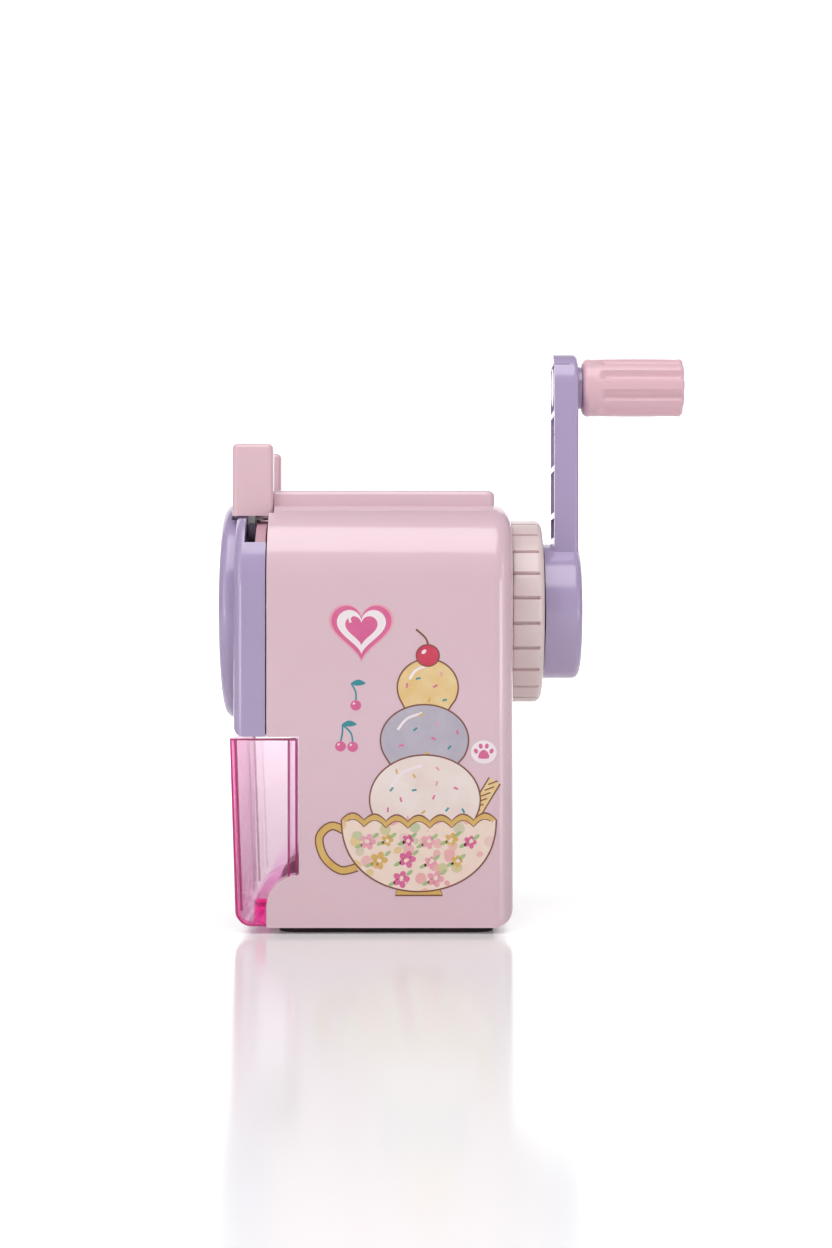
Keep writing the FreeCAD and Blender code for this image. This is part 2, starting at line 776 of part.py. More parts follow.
# ---- crank ----
def crank():
    hub = rod(hub_x, hub_rear, hub_radius)
    hub = rounded(hub, 1.7, lambda b: b.XMin > hub_rear - 0.01)
    arm = block(arm_x, arm_rear, -arm_half, arm_half, axis_z, knob_z)
    arm = arm.fuse(rod(arm_x, arm_rear, arm_half, 0.0, knob_z)).removeSplitter()
    arm = rounded(arm, 1.1, lambda b: b.XMin > arm_rear - 0.01 and b.ZMax > axis_z + 1)
    shape = hub.fuse(arm).fuse(rod(arm_rear - 1, knob_x - 0.1, neck_radius, 0.0, knob_z)).removeSplitter()
    shape = shape.cut(tube(hub_x - 1, hub_rear - 2.4, hub_radius - 2.3, 6.6))
    stops = [axis_z + place for place in [hub_radius + 0.6, *rib_places, crank_radius + 5.4]]
    half = arm_half - 1.6
    for low, high in zip(stops, stops[1:]):
        pocket = block(arm_x - 1, arm_rear - crank_spine, -half, half,
                       low + crank_rib / 2, high - crank_rib / 2)
        shape = shape.cut(pocket.cut(rod(arm_x - 2, arm_rear, spindle_radius + 2.2, 0.0, knob_z)))
    bore = rod(hub_x - 1, hub_x + shaft_grip, shaft_radius)
    flat = block(hub_x + 0.5, hub_x + shaft_grip, -5, 5, axis_z + shaft_radius - shaft_flat, axis_z + 5)
    shape = shape.cut(bore.cut(flat))
    shape = shape.cut(rod(hub_x, hub_rear, thread_radius + 0.2)).cut(
        rod(hub_rear - hub_cap_deep, hub_rear + 1, hub_cap_radius + running_gap))
    return shape.cut(rod(arm_x + 1.6, knob_x + 1, spindle_radius, 0.0, knob_z))


def crank_screw():
    head = rod(hub_rear - hub_cap_deep, hub_rear - 1.4, 3.2)
    slot = block(hub_rear - 2.0, hub_rear, -4, 4, axis_z - 0.4, axis_z + 0.4)
    return head.cut(slot).fuse(rod(hub_x - 4, hub_rear - hub_cap_deep, thread_radius))


def hub_cap():
    cap = rod(hub_rear - 1.1, hub_rear + 0.2, hub_cap_radius)
    return rounded(cap, 0.5, lambda b: b.XMin > hub_rear + 0.19)


def knob_spindle():
    pin = rod(arm_x + 1.6, knob_end - 2.8, spindle_radius, 0.0, knob_z)
    return pin.fuse(rod(knob_end - 2.8, knob_end - 1.8, 3.4, 0.0, knob_z))


def knob():
    body = rod(knob_x, knob_end, knob_radius, 0.0, knob_z)
    body = rounded(body, 0.8, lambda b: b.XLength < 0.01)
    reach = knob_radius + flute_radius - flute_deep
    for i in range(knob_flutes):
        a = math.radians(i * 360.0 / knob_flutes)
        y = reach * math.cos(a)
        z = knob_z + reach * math.sin(a)
        body = body.cut(rod(knob_x + plain_end, knob_end + 1, flute_radius, y, z))
        body = body.cut(Part.makeSphere(flute_radius, Vector(knob_x + plain_end, y, z)))
    body = body.cut(rod(knob_x - 1, knob_end, spindle_radius + running_gap, 0.0, knob_z))
    return body.cut(rod(knob_end - 3.0, knob_end + 1, plug_radius, 0.0, knob_z))


def knob_plug():
    plug = rod(knob_end - 1.4, knob_end - 0.1, plug_radius, 0.0, knob_z)
    return rounded(plug, 0.4, lambda b: b.XMin > knob_end - 0.11)


parts = {
    "housing": housing(),
    "base_pad": base_pad(),
    "front_guide_plate": front_guide_plate(),
    "guide_plate_screws": guide_plate_screws(),
    "pencil_guide_bush": pencil_guide_bush(),
    "rod_bushes": rod_bushes(),
    "front_cover": front_cover(),
    "chuck_plate": chuck_plate(),
    "cover_screws": cover_screws(),
    "lever_pivots": lever_pivots(),
    "guide_rods": guide_rods(),
    "rod_clips": rod_clips(),
    "feed_spring_left": feed_spring(1),
    "feed_spring_right": feed_spring(-1),
    "lever_plate_left": lever_plate(1),
    "lever_plate_right": lever_plate(-1),
    "jaw_pad_left": jaw_pad(1),
    "jaw_pad_right": jaw_pad(-1),
    "finger_cap_left": finger_cap(1),
    "finger_cap_right": finger_cap(-1),
    "lever_spring": lever_spring(),
    "drawer": drawer(),
    "rear_cap": rear_cap(),
    "cap_screws": cap_screws(),
    "bayonet_flange": bayonet_flange(),
    "ring_gear": ring_gear(),
    "rear_bush": rear_bush(),
    "crank": crank(),
    "crank_screw": crank_screw(),
    "hub_cap": hub_cap(),
    "drive_shaft": drive_shaft(),
    "cutter_carrier": cutter_carrier(),
    "cutter_axle": cutter_axle(),
    "point_stop": point_stop(),
    "helical_cutter": helical_cutter(),
    "cutter_pinion": cutter_pinion(),
    "knob_spindle": knob_spindle(),
    "knob": knob(),
    "knob_plug": knob_plug(),
}

os.makedirs("parts", exist_ok=True)
for name, shape in parts.items():
    shape.exportStep("parts/" + name + ".step")
    box = shape.BoundBox
    print(name, shape.isValid(), len(shape.Solids), round(shape.Volume, 1),
          [round(v, 1) for v in (box.XMin, box.XMax, box.YMin, box.YMax, box.ZMin, box.ZMax)])
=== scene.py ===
import bpy
import bmesh
import json
import math
import random
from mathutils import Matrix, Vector


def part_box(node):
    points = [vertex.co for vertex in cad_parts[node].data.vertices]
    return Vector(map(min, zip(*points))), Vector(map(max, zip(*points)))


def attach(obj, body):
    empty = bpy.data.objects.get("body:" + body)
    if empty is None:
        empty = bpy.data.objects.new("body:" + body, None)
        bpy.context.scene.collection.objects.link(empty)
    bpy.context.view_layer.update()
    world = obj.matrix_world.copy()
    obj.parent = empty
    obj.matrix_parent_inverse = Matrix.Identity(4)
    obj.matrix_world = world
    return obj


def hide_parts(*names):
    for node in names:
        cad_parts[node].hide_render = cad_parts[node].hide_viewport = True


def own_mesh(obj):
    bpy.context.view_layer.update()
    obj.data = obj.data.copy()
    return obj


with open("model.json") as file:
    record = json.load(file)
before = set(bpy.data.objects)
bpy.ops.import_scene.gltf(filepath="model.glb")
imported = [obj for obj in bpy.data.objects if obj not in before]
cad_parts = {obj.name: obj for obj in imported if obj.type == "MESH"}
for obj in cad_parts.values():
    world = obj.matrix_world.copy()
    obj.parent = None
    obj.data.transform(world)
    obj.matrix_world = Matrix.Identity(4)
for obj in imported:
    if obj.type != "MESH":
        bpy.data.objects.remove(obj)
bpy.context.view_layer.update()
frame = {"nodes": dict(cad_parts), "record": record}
mm = 0.001
nodes = frame["nodes"]
print("frame loaded:", len(nodes), "nodes")


class Sock:
    # a node's output that takes part in Python sums
    def __init__(self, tree, socket):
        self.tree = tree
        self.socket = socket

    def maths(self, operation, *others):
        return self.tree.add("ShaderNodeMath", {"operation": operation}, [self, *others])

    def __add__(self, other):
        return self.maths("ADD", other)

    def __sub__(self, other):
        return self.maths("SUBTRACT", other)

    def __rsub__(self, other):
        return self.tree.add("ShaderNodeMath", {"operation": "SUBTRACT"}, [other, self])

    def __mul__(self, other):
        return self.maths("MULTIPLY", other)

    def __truediv__(self, other):
        return self.maths("DIVIDE", other)

    def __gt__(self, other):
        return self.maths("GREATER_THAN", other)

    def __lt__(self, other):
        return self.maths("LESS_THAN", other)


class Tree:
    # a node tree that builds any node by its type, settings and sockets
    def __init__(self, tree):
        self.tree = tree

    def add(self, kind, settings=None, sockets=None, out=0):
        node = self.tree.nodes.new(kind)
        for key, value in (settings or {}).items():
            if key == "stops":
                self.setStops(node.color_ramp, value)
            else:
                setattr(node, key, value)
        pairs = sockets.items() if isinstance(sockets, dict) else enumerate(sockets or [])
        for key, value in pairs:
            self.feed(node.inputs[key], value)
        return Sock(self, node.outputs[out])

    def feed(self, socket, value):
        if isinstance(value, Sock):
            self.tree.links.new(value.socket, socket)
        elif isinstance(value, tuple) and socket.type == "RGBA":
            socket.default_value = (*value, 1)
        else:
            socket.default_value = value

    def setStops(self, ramp, stops):
        while len(ramp.elements) < len(stops):
            ramp.elements.new(0.5)
        for element, (place, colour) in zip(ramp.elements, stops):
            element.position = place
            element.color = (*colour, 1)

    def place(self):
        return self.add("ShaderNodeTexCoord", out="Object")

    def noise(self, place, scale, detail=2.0, rough=0.5):
        return self.add("ShaderNodeTexNoise", {},
                        {"Vector": place, "Scale": scale, "Detail": detail, "Roughness": rough})

    def mapped(self, place, scale):
        return self.add("ShaderNodeMapping", {}, {"Vector": place, "Scale": scale})

    def mix(self, share, first, second):
        return self.add("ShaderNodeMix", {"data_type": "RGBA"}, {0: share, 6: first, 7: second}, 2)

    def bump(self, height, depth):
        return self.add("ShaderNodeBump", {}, {"Distance": depth, "Height": height})


def srgb(red, green, blue):
    return tuple(
        (c / 255 / 12.92) if c <= 10 else ((c / 255 + 0.055) / 1.055) ** 2.4
        for c in (red, green, blue)
    )


def newMaterial(name):
    material = bpy.data.materials.new(name)
    material.use_nodes = True
    return material, Tree(material.node_tree), material.node_tree.nodes["Principled BSDF"]


def joinUp(tree, shader, values):
    for name, value in values.items():
        tree.feed(shader.inputs[name], value)


def plastic(name, colour, deep, rough=0.26, coat=0.35, grain=0.000012, glow=0.12):
    material, tree, shader = newMaterial(name)
    place = tree.place()
    cloud = tree.noise(place, 38.0, 3.0)
    speck = tree.noise(place, 1500.0, 2.0, 0.6)
    flow = tree.noise(tree.mapped(place, (30, 30, 190)), 1.0, 3.0)
    peel = tree.noise(place, 420.0, 2.0)
    joinUp(tree, shader, {
        "Base Color": tree.mix(cloud * 0.7 + flow * 0.25, colour, deep),
        "Roughness": flow * 0.09 + speck * 0.05 + (rough - 0.07),
        "Normal": tree.bump(peel + speck * 0.4, grain),
        "Coat Weight": coat,
        "Coat Roughness": 0.08,
        "Subsurface Weight": glow,
        "Subsurface Radius": (0.004, 0.002, 0.002),
        "Subsurface Scale": 0.5,
    })
    return material


def clearPlastic(name, look):
    material, tree, shader = newMaterial(name)
    place = tree.place()
    wave = tree.noise(place, 90.0, 2.0)
    haze = tree.noise(place, 260.0, 3.0)
    joinUp(tree, shader, {
        "Base Color": tree.mix(haze, look["face"], look["deep"]),
        "Roughness": haze * 0.05 + 0.015,
        "Normal": tree.bump(wave, 0.00004),
        "Transmission Weight": 1.0,
        "IOR": 1.49,
        "Alpha": look["alpha"],
        # painted glow: a faint pink emission on the clear plastic, which is no lamp
        "Emission Color": look["glow"],
        "Emission Strength": look["paintedGlowPower"],
    })
    inside = tree.add("ShaderNodeVolumeAbsorption", {},
                      {"Color": look["body"], "Density": look["density"]})
    tree.feed(material.node_tree.nodes["Material Output"].inputs["Volume"], inside)
    return material


def metal(name, colour, deep, rough=0.24, along=(900, 60, 60)):
    material, tree, shader = newMaterial(name)
    place = tree.place()
    lines = tree.noise(tree.mapped(place, along), 6.0, 3.0)
    stain = tree.noise(place, 160.0, 4.0)
    joinUp(tree, shader, {
        "Base Color": tree.mix(stain, colour, deep),
        "Metallic": 1.0,
        "Roughness": lines * 0.16 + stain * 0.1 + (rough - 0.1),
        "Normal": tree.bump(lines, 0.00001),
    })
    return material


def rubber(name, colour, deep):
    material, tree, shader = newMaterial(name)
    place = tree.place()
    cells = tree.add("ShaderNodeTexVoronoi", {}, {"Vector": place, "Scale": 1600.0}, "Distance")
    dust = tree.noise(place, 220.0, 4.0)
    joinUp(tree, shader, {
        "Base Color": tree.mix(dust, colour, deep),
        "Roughness": dust * 0.15 + 0.68,
        "Normal": tree.bump(cells, 0.00008),
    })
    return material


def ink(name, colour, deep, scale=260.0):
    material, tree, shader = newMaterial(name)
    place = tree.place()
    wash = tree.noise(place, scale, 4.0, 0.62)
    edge = tree.noise(place, scale * 5, 2.0)
    joinUp(tree, shader, {
        "Base Color": tree.mix(wash * 1.5 - 0.25, colour, deep),
        "Roughness": edge * 0.12 + 0.3,
        "Normal": tree.bump(edge, 0.000006),
        "Coat Weight": 0.25,
        "Coat Roughness": 0.1,
    })
    return material


def floralInk(name):
    material, tree, shader = newMaterial(name)
    place = tree.place()
    flat = tree.mapped(place, (1, 0, 1))
    wobble = tree.noise(flat, 420.0, 2.0)
    blobs = tree.add("ShaderNodeTexVoronoi", {}, {"Vector": flat, "Scale": 330.0}, "Distance")
    tints = tree.add("ShaderNodeTexVoronoi", {}, {"Vector": flat, "Scale": 330.0}, "Color")
    pick = tree.add("ShaderNodeSeparateColor", {}, {"Color": tints}, "Red")
    petals = tree.add("ShaderNodeValToRGB", {"stops": [
        (0.0, srgb(236, 150, 160)), (0.34, srgb(240, 176, 178)), (0.55, srgb(233, 198, 122)),
        (0.75, srgb(178, 200, 150)), (1.0, srgb(245, 205, 200))]}, [pick])
    inBlob = (blobs + wobble * 0.25) < 0.52
    wash = tree.noise(place, 500.0, 3.0)
    paper = tree.mix(wash, srgb(250, 232, 218), srgb(246, 216, 200))
    joinUp(tree, shader, {
        "Base Color": tree.mix(inBlob * 0.75, paper, petals),
        "Roughness": wash * 0.1 + 0.3,
        "Normal": tree.bump(wash, 0.000006),
        "Coat Weight": 0.25,
    })
    return material


clearLook = {
    "face": (0.76, 0.75, 0.75), "deep": (0.71, 0.70, 0.70), "alpha": 0.72,
    "body": (0.95, 0.10, 0.72), "density": 115.0,
    # glow and paintedGlowPower: a painted faint pink glow on the clear drawer
    "glow": (1.0, 0.14, 0.46), "paintedGlowPower": 0.02,
}
slotLooks = {
    "body_pink": plastic("bodyPink", srgb(233, 203, 213), srgb(230, 196, 207), 0.2, 0.5),
    "cap_pink": plastic("capPink", srgb(234, 200, 209), srgb(230, 193, 203), 0.3, 0.3),
    "knob_pink": plastic("knobPink", srgb(233, 193, 203), srgb(228, 185, 196), 0.34, 0.2, 0.00002),
    "plate_pink": plastic("platePink", srgb(214, 170, 182), srgb(206, 160, 174), 0.42, 0.1, 0.00003),
    "lavender": plastic("lavender", srgb(184, 168, 204), srgb(178, 161, 198), 0.22, 0.45),
    "cream_plastic": plastic("creamPlastic", srgb(236, 217, 216), srgb(230, 209, 208), 0.32, 0.25, 0.00002),
    "clear_pink": clearPlastic("clearPink", clearLook),
    "pad_black": rubber("padBlack", srgb(38, 26, 28), srgb(24, 18, 20)),
    "jaw_rubber": rubber("jawRubber", srgb(52, 50, 52), srgb(36, 34, 36)),
    "steel": metal("platedSteel", (0.62, 0.61, 0.6), (0.5, 0.5, 0.5), 0.26),
    "spring_steel": metal("springWire", (0.55, 0.55, 0.57), (0.42, 0.42, 0.44), 0.3),
    "tool_steel": metal("toolSteel", (0.42, 0.42, 0.44), (0.3, 0.3, 0.32), 0.3, (60, 900, 60)),
    "cast_metal": metal("castMetal", (0.6, 0.6, 0.62), (0.5, 0.5, 0.52), 0.42, (200, 200, 200)),
    "brass": metal("turnedBrass", (0.72, 0.52, 0.25), (0.6, 0.42, 0.2), 0.28),
}
for part in frame["record"]["subparts"]:
    mesh = nodes[part["node"]].data
    mesh.materials.clear()
    mesh.materials.append(slotLooks[part["material_slot"]])
print("materials:", len(slotLooks))


# shared mesh work
def linkMesh(name, mesh, material=None):
    piece = bpy.data.objects.new(name, mesh)
    bpy.context.scene.collection.objects.link(piece)
    if material:
        mesh.materials.append(material)
    return piece


def softEdges(mesh, degrees=35):
    mesh.shade_smooth()
    mesh.set_sharp_from_angle(angle=math.radians(degrees))


weldGap = 0.001 * mm


def cleanMesh(mesh, weld=0.0):
    # joins doubled corners when a gap is given, and turns every face outwards
    bm = bmesh.new()
    bm.from_mesh(mesh)
    if weld:
        bmesh.ops.remove_doubles(bm, verts=bm.verts, dist=weld)
    bmesh.ops.recalc_face_normals(bm, faces=bm.faces)
    bm.to_mesh(mesh)
    bm.free()


def turned(name, outline, centreZ, segments):
    # turns (x, radius) points about a line along X; radius 0 closes an end
    bm = bmesh.new()
    rings = []
    for x, radius in outline:
        if radius == 0:
            rings.append([bm.verts.new((x, 0, centreZ))])
            continue
        ring = []
        for i in range(segments):
            a = 2 * math.pi * i / segments
            ring.append(bm.verts.new((x, radius * math.cos(a), centreZ + radius * math.sin(a))))
        rings.append(ring)
    for first, second in zip(rings, rings[1:]):
        for i in range(segments):
            j = (i + 1) % segments
            corners = [first[i % len(first)], first[j % len(first)],
                       second[j % len(second)], second[i % len(second)]]
            unique = list(dict.fromkeys(corners))
            if len(unique) > 2:
                bm.faces.new(unique)
    bmesh.ops.recalc_face_normals(bm, faces=bm.faces)
    mesh = bpy.data.meshes.new(name)
    bm.to_mesh(mesh)
    bm.free()
    return mesh


def roundCorner(x, radius, r, fromDeg, toDeg, steps=5):
    # points of a rounded corner about (x, radius), in the plane of a turned outline
    return [(x + r * math.cos(math.radians(fromDeg + (toDeg - fromDeg) * i / steps)),
             radius + r * math.sin(math.radians(fromDeg + (toDeg - fromDeg) * i / steps)))
            for i in range(steps + 1)]


def geometryTree(name, inputs):
    tree = bpy.data.node_groups.new(name, "GeometryNodeTree")
    tree.interface.new_socket("Geometry", in_out="INPUT", socket_type="NodeSocketGeometry")
    for label, kind in inputs.items():
        tree.interface.new_socket(label, in_out="INPUT", socket_type=kind)
    tree.interface.new_socket("Geometry", in_out="OUTPUT", socket_type="NodeSocketGeometry")
    grown = Tree(tree)
    start = grown.add("NodeGroupInput").socket.node
    taken = {label: Sock(grown, start.outputs[label]) for label in ["Geometry", *inputs]}
    return grown, taken


def closeTree(tree, geometry, material):
    real = tree.add("GeometryNodeRealizeInstances", {}, [geometry])
    painted = tree.add("GeometryNodeSetMaterial", {}, {"Geometry": real, "Material": material})
    tree.tree.nodes.new("NodeGroupOutput")
    tree.feed(tree.tree.nodes["Group Output"].inputs[0], painted)


def growMesh(name, mesh, tree, values):
    # runs a tree on a mesh and keeps the plain result
    holder = bpy.data.objects.new(name + "Source", mesh)
    bpy.context.scene.collection.objects.link(holder)
    modifier = holder.modifiers.new("grow", "NODES")
    modifier.node_group = tree
    for item in tree.interface.items_tree:
        if item.in_out == "INPUT" and item.name in values:
            modifier[item.identifier] = values[item.name]
    graph = bpy.context.evaluated_depsgraph_get()
    result = bpy.data.meshes.new_from_object(holder.evaluated_get(graph))
    result.name = name
    holder.modifiers.remove(modifier)
    bpy.data.objects.remove(holder)
    return result


# grooves pressed into a turned shape
def grooveTree():
    tree, given = geometryTree("pressGrooves", {
        "Count": "NodeSocketFloat", "Depth": "NodeSocketFloat", "Narrow": "NodeSocketFloat",
        "Start": "NodeSocketFloat", "End": "NodeSocketFloat", "Ease": "NodeSocketFloat",
        "AxisZ": "NodeSocketFloat", "Inner": "NodeSocketFloat", "Material": "NodeSocketMaterial"})
    place = tree.add("GeometryNodeInputPosition")
    parts = tree.add("ShaderNodeSeparateXYZ", {}, [place]).socket.node
    x, y, z = (Sock(tree, parts.outputs[i]) for i in range(3))
    high = z - given["AxisZ"]
    angle = high.maths("ARCTAN2", y)
    wave = (angle * given["Count"]).maths("COSINE")
    press = ((wave - given["Narrow"]) / (1 - given["Narrow"])).maths("MAXIMUM", 0.0)
    press = press.maths("POWER", 0.5)
    radius = (y * y + high * high).maths("SQRT")
    opens = tree.add("ShaderNodeMapRange", {"interpolation_type": "SMOOTHSTEP"},
                    [x, given["Start"], given["Start"] + given["Ease"], 0.0, 1.0])
    closes = tree.add("ShaderNodeMapRange", {"interpolation_type": "SMOOTHSTEP"},
                     [x, given["End"] - given["Ease"] * 0.3, given["End"], 1.0, 0.0])
    amount = press * opens * closes * given["Depth"] * (radius > given["Inner"])
    share = amount / radius.maths("MAXIMUM", 0.0001) * -1.0
    shift = tree.add("ShaderNodeCombineXYZ", {}, [0.0, y * share, high * share])
    moved = tree.add("GeometryNodeSetPosition", {}, {"Geometry": given["Geometry"], "Offset": shift})
    closeTree(tree, moved, given["Material"])
    return tree.tree


pressGrooves = grooveTree()


def placeOf(node):
    low, high = (Vector(corner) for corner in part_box(node))
    return low, high, (low + high) / 2


# fluted knob
knobShape = {"flutes": 9, "depth": 0.95 * mm, "narrow": -0.15, "plain": 3.6 * mm, "rim": 0.9 * mm,
             "shoulder": 1.5 * mm, "belly": 0.12 * mm, "rings": 44, "segments": 216,
             "plugGap": 0.02 * mm, "spindleGap": 0.55 * mm, "step": 1.5 * mm, "lip": 0.3 * mm,
             "endRim": 2.6 * mm, "ease": 1.6 * mm, "skin": 1.4 * mm, "past": 5 * mm}


def makeKnob(s):
    low, high, mid = placeOf("knob")
    radius = (high.z - low.z) / 2
    plugLow, plugHigh = placeOf("knob_plug")[:2]
    rodLow, rodHigh = placeOf("guide_rods")[:2]
    bore = (plugHigh.z - plugLow.z) / 2 + s["plugGap"]
    hole = (rodHigh.z - rodLow.z) / 2 + s["spindleGap"]
    stepX = plugLow.x - s["step"]
    lip = s["lip"]
    outline = [(stepX, bore), (high.x - lip, bore)]
    outline += roundCorner(high.x - lip, bore + lip, lip, -90, 0, 3)[1:]
    outline += roundCorner(high.x - s["rim"], radius - s["rim"], s["rim"], 0, 90)
    for i in range(1, s["rings"]):
        t = i / s["rings"]
        x = high.x - s["rim"] - (high.x - low.x - s["rim"] - s["shoulder"]) * t
        outline.append((x, radius - s["belly"] * (1 - math.sin(math.pi * t))))
    outline += roundCorner(low.x + s["shoulder"], radius - s["shoulder"], s["shoulder"], 90, 180)
    outline += [(low.x, radius - s["endRim"]), (low.x, hole), (stepX, hole), (stepX, bore)]
    mesh = turned("knobBlank", outline, mid.z, s["segments"])
    cleanMesh(mesh, weldGap)
    mesh = growMesh("flutedKnob", mesh, pressGrooves, {
        "Count": float(s["flutes"]), "Depth": s["depth"], "Narrow": s["narrow"],
        "Start": low.x + s["plain"], "End": high.x + s["past"], "Ease": s["ease"], "AxisZ": mid.z,
        "Inner": radius - s["skin"], "Material": slotLooks["knob_pink"]})
    softEdges(mesh, 50)
    piece = linkMesh("flutedKnob", mesh)
    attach(piece, "knob")
    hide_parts("knob")


makeKnob(knobShape)


# ribbed rear cap
capShape = {"ribs": 23, "depth": 0.95 * mm, "narrow": 0.9, "rim": 1.7 * mm, "smooth": 1.15 * mm,
            "wall": 2.6 * mm, "rings": 9, "ringsPerRib": 26, "edge": 0.4 * mm, "bushWall": 2.0 * mm,
            "bushGap": 0.02 * mm, "web": 2.0 * mm, "sunk": 0.25 * mm, "rimFoot": 9.6 * mm,
            "webFoot": 9.2 * mm, "ahead": 1 * mm, "ease": 0.5 * mm}


def makeCap(s):
    low, high, mid = placeOf("rear_cap")
    radius = (high.z - low.z) / 2
    bushLow, bushHigh = placeOf("rear_bush")[:2]
    hole = (bushHigh.z - bushLow.z) / 2 - s["bushWall"] + s["bushGap"]
    inner = radius - s["wall"]
    back = high.x - s["web"]
    face = high.x - s["sunk"]
    edge = s["edge"]
    start = low.x + edge
    outline = [(low.x, inner), (low.x, radius - edge)]
    outline += roundCorner(start, radius - edge, edge, 180, 90, 3)[1:]
    for i in range(1, s["rings"]):
        outline.append((start + (high.x - s["rim"] - start) * i / s["rings"], radius))
    outline += roundCorner(high.x - s["rim"], radius - s["rim"], s["rim"], 90, 0, 7)
    outline += [(high.x, hole + s["rimFoot"]), (face, hole + s["webFoot"]), (face, hole),
                (back, hole), (back, inner), (low.x, inner)]
    mesh = turned("capBlank", outline, mid.z, s["ribs"] * s["ringsPerRib"])
    cleanMesh(mesh, weldGap)
    mesh = growMesh("ribbedCap", mesh, pressGrooves, {
        "Count": float(s["ribs"]), "Depth": s["depth"], "Narrow": s["narrow"],
        "Start": low.x - s["ahead"], "End": high.x - s["smooth"], "Ease": s["ease"], "AxisZ": mid.z,
        "Inner": radius - s["rim"], "Material": slotLooks["cream_plastic"]})
    softEdges(mesh, 30)
    piece = linkMesh("ribbedCap", mesh)
    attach(piece, "rear_cap")
    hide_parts("rear_cap")


makeCap(capShape)
print("knob and rear cap made")


# springs
def springTree():
    tree, given = geometryTree("windSpring", {
        "Turns": "NodeSocketFloat", "Radius": "NodeSocketFloat", "Length": "NodeSocketFloat",
        "Wire": "NodeSocketFloat", "Material": "NodeSocketMaterial"})
    spiral = tree.add("GeometryNodeCurveSpiral", {}, {
        "Resolution": 24, "Rotations": given["Turns"], "Start Radius": given["Radius"],
        "End Radius": given["Radius"], "Height": given["Length"]})
    ring = tree.add("GeometryNodeCurvePrimitiveCircle", {}, {"Resolution": 8, "Radius": given["Wire"]})
    coil = tree.add("GeometryNodeCurveToMesh", {},
                    {"Curve": spiral, "Profile Curve": ring, "Fill Caps": True})
    closeTree(tree, coil, given["Material"])
    return tree.tree


windSpring = springTree()
springShape = {"wire": 0.35 * mm, "turns": 9.0, "leverWire": 0.225 * mm, "leverTurns": 14.0}


def makeSpring(name, node, body, turns, wire, along):
    low, high, mid = placeOf(node)
    size = high - low
    radius = size.z / 2 - wire
    length = (size.x if along == "x" else size.y) - 2 * wire
    mesh = growMesh(name, bpy.data.meshes.new(name + "Blank"), windSpring, {
        "Turns": turns, "Radius": radius, "Length": length, "Wire": wire,
        "Material": slotLooks["spring_steel"]})
    for vertex in mesh.vertices:
        x, y, z = vertex.co
        if along == "x":
            vertex.co = (low.x + wire + z, mid.y + y, mid.z - x)
        else:
            vertex.co = (mid.x - x, low.y + wire + z, mid.z + y)
    cleanMesh(mesh)
    softEdges(mesh, 50)
    piece = linkMesh(name, mesh)
    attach(piece, body)
    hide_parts(node)
    return piece, low, high, mid


for side in ("Left", "Right"):
    piece, low, high, mid = makeSpring("feedSpring" + side, "feed_spring_" + side.lower(), "housing",
                                       springShape["turns"], springShape["wire"], "x")
    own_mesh(piece)
makeSpring("leverSpring", "lever_spring", "carriage",
           springShape["leverTurns"], springShape["leverWire"], "y")
print("springs wound")


# painted edge glow of the clear drawer: bright deep pink strips along its side walls' outlines, with a
# painted glow, stand in for the light and colour its walls gather
# colour, deep, glow and paintedGlowPower paint the drawer's edge glow
edgeShape = {"radius": 0.26 * mm, "lean": 1.3 * mm, "corner": 3.1 * mm, "wall": 1.05 * mm, "band": 1.6 * mm,
             "windowDeep": 6.6 * mm, "footRound": 7.1 * mm, "sill": 5.6 * mm, "colour": srgb(206, 62, 128),
             "deep": srgb(188, 44, 108), "steps": 8, "glow": (1.0, 0.12, 0.42), "paintedGlowPower": 0.08}


def paintedEdgeGlow(look):
    material, tree, shader = newMaterial("drawerEdge")
    shade = tree.noise(tree.place(), 140.0, 3.0)
    # painted edge glow: deep pink colour, part see-through, with a faint emission
    joinUp(tree, shader, {
        "Base Color": tree.mix(shade, look["colour"], look["deep"]),
        "Roughness": shade * 0.1 + 0.12,
        "Alpha": shade * 0.25 + 0.6,
        "Emission Color": look["glow"],
        "Emission Strength": look["paintedGlowPower"],
    })
    return material


def edgeRuns(e):
    # outlines of one side wall, as (x, z) runs
    low, high = placeOf("drawer")[:2]
    housingLow = placeOf("housing")[0]
    inset = e["radius"]
    front = low.x + inset
    rear = housingLow.x + e["windowDeep"] - inset
    foot = low.z + inset
    top = high.z - inset
    corner = e["corner"]
    centre = (front + e["lean"] + corner, foot + corner)
    arc = [(centre[0] - corner * math.cos(a), centre[1] - corner * math.sin(a))
           for a in (math.pi / 2 * i / e["steps"] for i in range(e["steps"] + 1))]
    heel = rear - e["footRound"] + e["band"]
    outer = [(rear, top), (front, top), *arc, (heel, foot)]
    sill = housingLow.z + e["sill"]
    heelRound = rear - heel
    curve = [(rear - heelRound * math.sin(a), sill + heelRound * math.cos(a) - inset)
             for a in (math.pi / 2 * i / e["steps"] for i in range(e["steps"] + 1))]
    inner = [(front + e["wall"], top), (front + e["lean"] + e["wall"], foot + corner)]
    band = [(rear - e["band"], top), (rear - e["band"], curve[0][1])]
    return [outer, [(rear, top), *curve, (heel, foot)], inner, band]


